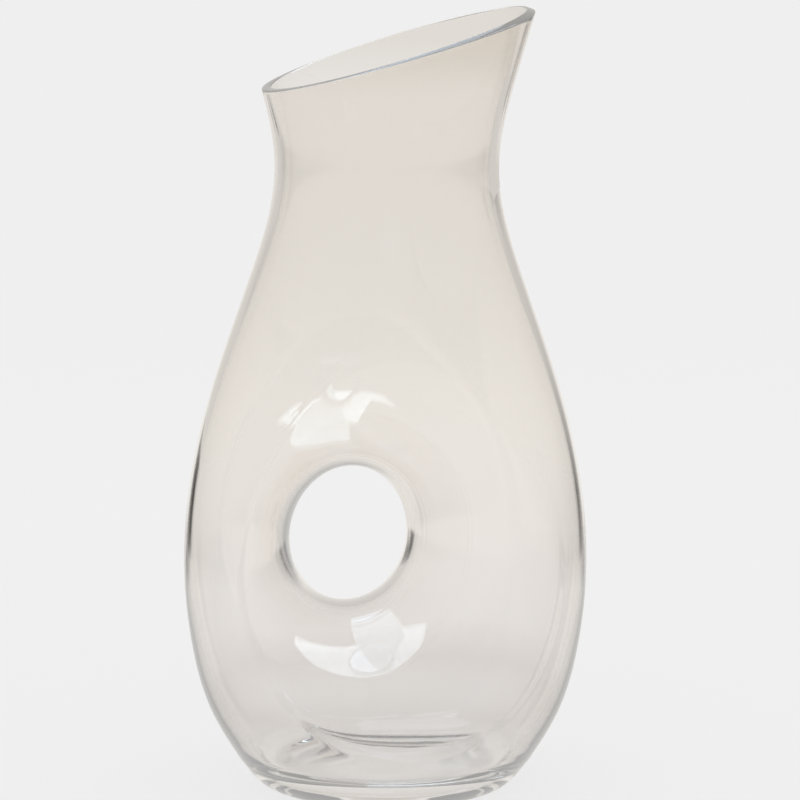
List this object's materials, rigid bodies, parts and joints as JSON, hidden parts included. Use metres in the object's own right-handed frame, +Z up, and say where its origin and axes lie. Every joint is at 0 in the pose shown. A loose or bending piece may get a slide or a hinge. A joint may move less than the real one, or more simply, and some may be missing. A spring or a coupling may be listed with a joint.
{
  "type": "wine carafe",
  "caption": "Clear glass wine carafe: pear-shaped belly, flattened at the front and the back, with an oval finger hole through it, drawn-in waist and a flared mouth cut on a slant for pouring.",
  "frame": {"origin": "centre of the foot, on the surface that the carafe stands on", "axes": "+Z up through the mouth, +X to the pouring tip, Y along the finger hole"},
  "size_m": [0.15, 0.1256, 0.29],
  "materials": {
    "clear_glass": "clear, fire-polished, faintly warm hand-blown glass"
  },
  "bodies": {
    "root": {"base": "clear_glass", "belly_shell": "clear_glass", "front_funnel": "clear_glass", "rear_funnel": "clear_glass", "neck": "clear_glass", "pouring_lip": "clear_glass"}
  },
  "joints": []
}
